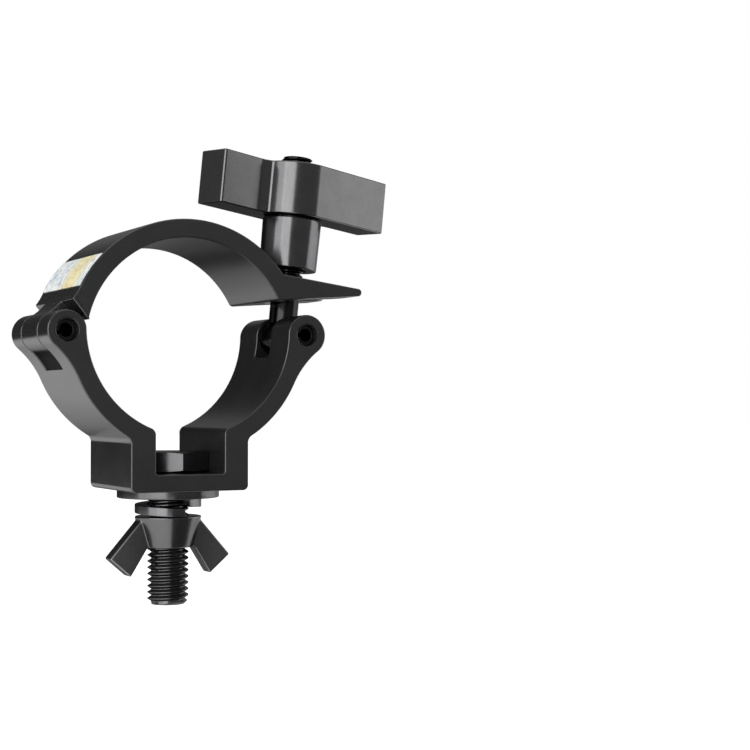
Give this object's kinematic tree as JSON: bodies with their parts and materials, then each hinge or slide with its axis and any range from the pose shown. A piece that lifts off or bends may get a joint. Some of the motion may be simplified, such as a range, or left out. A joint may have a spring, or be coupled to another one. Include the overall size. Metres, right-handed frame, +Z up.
{
  "type": "pipe clamp",
  "caption": "Hinged two-jaw pipe clamp, closed by a swing bolt with a T handle; a block below holds a bolt with washers and a wing nut for hanging equipment.",
  "frame": {"origin": "centre of the lower jaw's bore, halfway across the jaw's width", "axes": "+Y along the pipe, +Z up from the block towards the upper jaw, +X from the hinge towards the swing bolt"},
  "size_m": [0.0949, 0.03, 0.1116],
  "materials": {
    "jaw_black": "satin black coat",
    "fastener_black": "gloss black plating",
    "handle_grey": "satin dark grey coat",
    "label_film": "satin film"
  },
  "bodies": {
    "base": {"lower_jaw": "jaw_black", "hinge_pin": "fastener_black", "pivot_pin": "fastener_black", "mount_bolt": "fastener_black"},
    "jaw": {"upper_jaw": "jaw_black", "label": "label_film"},
    "bolt": {"swing_bolt": "fastener_black"},
    "sleeve": {"handle_hub": "fastener_black"},
    "handle": {"handle_bar": "handle_grey"},
    "washers": {"flat_washer": "fastener_black", "spring_washer": "fastener_black"},
    "nut": {"wing_nut": "fastener_black"}
  },
  "joints": [
    {"name": "handle_turn", "type": "hinge", "parent": "sleeve", "child": "handle", "pos_m": [0.03043, 0, -0.001], "axis": [0.0993, 0, 0.9951], "range_deg": [0, 6480]},
    {"name": "handle_travel", "type": "slide", "parent": "bolt", "child": "sleeve", "axis": [0.0993, 0, 0.9951], "range_m": [0, 0.0225]},
    {"name": "bolt_swing", "type": "hinge", "parent": "base", "child": "bolt", "pos_m": [0.03043, 0, -0.001], "axis": [0, 1, 0], "range_deg": [0, 90]},
    {"name": "jaw_hinge", "type": "hinge", "parent": "base", "child": "jaw", "pos_m": [-0.03008, 0, -0.001], "axis": [0, -1, 0], "range_deg": [0, 16.2]},
    {"name": "nut_turn", "type": "hinge", "parent": "washers", "child": "nut", "pos_m": [0, 0, -0.05], "axis": [0, 0, -1], "range_deg": [0, 2160]},
    {"name": "nut_travel", "type": "slide", "parent": "base", "child": "washers", "axis": [0, 0, -1], "range_m": [0, 0.009]}
  ],
  "couplings": [
    {"joint": "handle_travel", "follows": "handle_turn", "m_per_rad": 0.00019894},
    {"joint": "bolt_swing", "follows": "handle_turn", "ratio": 0.013889},
    {"joint": "jaw_hinge", "follows": "handle_turn", "ratio": 0.0024999},
    {"joint": "nut_travel", "follows": "nut_turn", "m_per_rad": 0.00023873}
  ]
}
